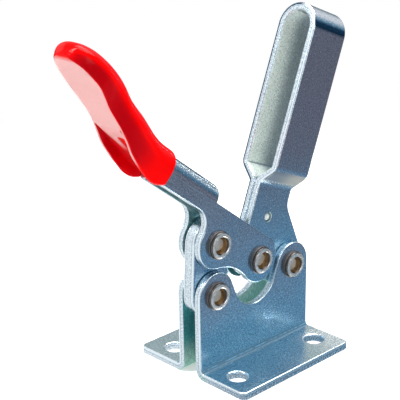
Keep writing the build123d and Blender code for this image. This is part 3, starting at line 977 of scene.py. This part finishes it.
class OBJECT_OT_clamp_stage(ClampOperator, bpy.types.Operator):
    """Sets the floor, the lamps, the room and the camera"""

    bl_idname = "object.clamp_stage"
    bl_label = "Studio"

    def execute(self, context):
        kit = context.scene.clamp_studio
        self.floor(kit)
        self.card(kit)
        self.lamps(kit)
        self.room(context, kit)
        self.camera(context, kit)
        context.scene.view_settings.view_transform = "Standard"
        return {"FINISHED"}

    def sheet(self, name, height, finish):
        """Wide level sheet of the stage."""
        mesh = bpy.data.meshes.new(name)
        shape = bmesh.new()
        bmesh.ops.create_grid(shape, x_segments=8, y_segments=8, size=STAGE_HALF)
        shape.to_mesh(mesh)
        shape.free()
        made = bpy.data.objects.new(name, mesh)
        made.location.z = height
        bpy.context.scene.collection.objects.link(made)
        mesh.materials.append(finish)
        return made

    def floor(self, kit):
        """White floor that keeps the object's shadow and fades to plain white around it."""
        finish = material("floor_white")
        path = finish.node("ShaderNodeLightPath").socket.node
        seen = Wire(finish, path.outputs["Is Camera Ray"])
        x, y, z = finish.split(finish.place())
        far = reach(x, y).ramp(0.10, 0.26)
        speck = finish.noise(0.01, 2)
        white = kit.floor[:]
        matt = finish.node("ShaderNodeBsdfDiffuse", inputs={
            "Color": finish.mix(speck * 0.04, white, scaled(white, 0.9))})
        glow = finish.node("ShaderNodeEmission", inputs={"Strength": seen * FLOOR_GLOW})
        both = finish.node("ShaderNodeAddShader", inputs=[matt, glow])
        plain = finish.node("ShaderNodeEmission", inputs={"Strength": 1.0})
        faded = finish.node("ShaderNodeMixShader", inputs=[seen * far, both, plain])
        finish.node("ShaderNodeOutputMaterial", inputs={"Surface": faded})
        self.sheet("floor", -0.00002, finish.block)

    def card(self, kit):
        """Card that only mirrors see: pale on the left, blue-grey in front, dark behind."""
        finish = material("card_grey")
        x, y, z = finish.split(finish.place())
        side = x * RIGHTWARD[0] + y * RIGHTWARD[1]
        grey = finish.mix(side.ramp(0.05, 0.20), kit.near_card[:], kit.far_card[:])
        front = side.ramp(-0.03, 0.015) * y.ramp(0.03, 0.0)
        tone = finish.mix(front, CARD_PALE, grey)
        behind = x * BEHIND[0] + y * BEHIND[1]
        tone = finish.mix(behind.ramp(0.11, 0.20), tone, DARK_BEHIND)
        under = abs(x).ramp(24 * MM, 19 * MM) * abs(y).ramp(5.5 * MM, 4.5 * MM)
        tone = finish.mix(under, tone, kit.under_card[:])
        glow = finish.node("ShaderNodeEmission", inputs={"Color": tone, "Strength": 1.0})
        finish.node("ShaderNodeOutputMaterial", inputs={"Surface": glow})
        card = self.sheet("card", -0.00001, finish.block)
        card.visible_camera = card.visible_diffuse = card.visible_shadow = False
        card.visible_transmission = card.visible_volume_scatter = False

    def lamps(self, kit):
        """Softboxes, all aimed at the middle of the model."""
        middle = Vector((0, 0, 0.045))
        boxes = (
            ("key", kit.key, (-0.25, 0.114, 0.485), 0.08, 0.34),
            ("fill", kit.fill, (-0.10, -0.62, 0.30), 0.30, 0.30),
            ("top", kit.top, (0.22, 0.02, 0.56), 0.44, 0.44),
        )
        for name, watts, place, width, height in boxes:
            lamp = bpy.data.lights.new(name + "_lamp", "AREA")
            lamp.shape = "RECTANGLE"
            lamp.energy, lamp.size, lamp.size_y = watts, width, height
            holder = bpy.data.objects.new(name + "_lamp", lamp)
            holder.location = place
            aim = middle - Vector(place)
            holder.rotation_euler = aim.to_track_quat("-Z", "Y").to_euler()
            bpy.context.scene.collection.objects.link(holder)

    def room(self, context, kit):
        """White to the camera, tinted in mirrors, plain soft light otherwise."""
        world = bpy.data.worlds.new("room")
        context.scene.world = world
        finish = Finish(world)
        path = finish.node("ShaderNodeLightPath").socket.node
        seen = [Wire(finish, path.outputs[n]) for n in
                ("Is Camera Ray", "Is Glossy Ray", "Is Transmission Ray")]
        light = finish.node("ShaderNodeBackground", inputs={"Strength": kit.world})
        x, y, z = finish.split(finish.node("ShaderNodeTexCoord"))
        side = x * RIGHTWARD[0] + y * RIGHTWARD[1]
        mirrored = finish.mix(side.ramp(-0.8, -0.3), ROOM_LEFT, ROOM_MIDDLE)
        mirrored = finish.mix(side.ramp(0.1, 0.5), mirrored, ROOM_FRONT)
        mirrored = finish.mix(side.ramp(0.62, 0.84), mirrored, ROOM_RIGHT)
        mirrored = finish.mix(z.ramp(0.6, 0.85), mirrored, ZENITH)
        behind = (x * BEHIND[0] + y * BEHIND[1]).ramp(0.5, 0.8) * z.ramp(0.22, 0.08)
        mirrored = finish.mix(behind, mirrored, DARK_BEHIND)
        tone = finish.mix(seen[1], (1, 1, 1), mirrored)
        backdrop = finish.node("ShaderNodeBackground", inputs={"Color": tone, "Strength": 1.0})
        both = finish.node("ShaderNodeMixShader", inputs=[
            (seen[0] + seen[1] + seen[2]).least(1), light, backdrop])
        finish.node("ShaderNodeOutputWorld", inputs={"Surface": both})

    def camera(self, context, kit):
        """Camera at its angle round the model, shifted across its line of sight."""
        az, el, roll = kit.azimuth, kit.elevation, kit.roll
        back = Vector((sin(az) * cos(el), -cos(az) * cos(el), sin(el)))
        right = Vector((cos(az), sin(az), 0))
        up = back.cross(right)
        right, up = cos(roll) * right + sin(roll) * up, cos(roll) * up - sin(roll) * right
        place = back * kit.distance + right * kit.slide + up * kit.lift
        lens = bpy.data.cameras.new("camera")
        lens.lens, lens.sensor_width = kit.lens, 36.0
        lens.clip_start, lens.clip_end = 0.01, 20.0
        camera = bpy.data.objects.new("camera", lens)
        turned = Matrix((right, up, back)).transposed().to_4x4()
        turned.translation = place
        camera.matrix_world = turned
        context.scene.collection.objects.link(camera)
        context.scene.camera = camera


OPERATORS = (
    OBJECT_OT_clamp_brackets,
    OBJECT_OT_clamp_linkage,
    OBJECT_OT_clamp_rivets,
    OBJECT_OT_clamp_grip,
    OBJECT_OT_clamp_stage,
)


class VIEW3D_PT_clamp(bpy.types.Panel):
    """Buttons that build each part of the scene"""

    bl_label = "Toggle clamp"
    bl_space_type = "VIEW_3D"
    bl_region_type = "UI"
    bl_category = "Clamp"

    def draw(self, context):
        for operator in OPERATORS:
            self.layout.operator(operator.bl_idname)


def register():
    for name, group in SETTINGS.items():
        bpy.utils.register_class(group)
        setattr(bpy.types.Scene, name, PointerProperty(type=group))
    for operator in OPERATORS:
        bpy.utils.register_class(operator)
    bpy.utils.register_class(VIEW3D_PT_clamp)


def unregister():
    bpy.utils.unregister_class(VIEW3D_PT_clamp)
    for operator in reversed(OPERATORS):
        bpy.utils.unregister_class(operator)
    for name, group in reversed(SETTINGS.items()):
        delattr(bpy.types.Scene, name)
        bpy.utils.unregister_class(group)


def main():
    register()
    for operator in OPERATORS:
        group, name = operator.bl_idname.split(".")
        getattr(getattr(bpy.ops, group), name)()


if __name__ == "__main__":
    main()
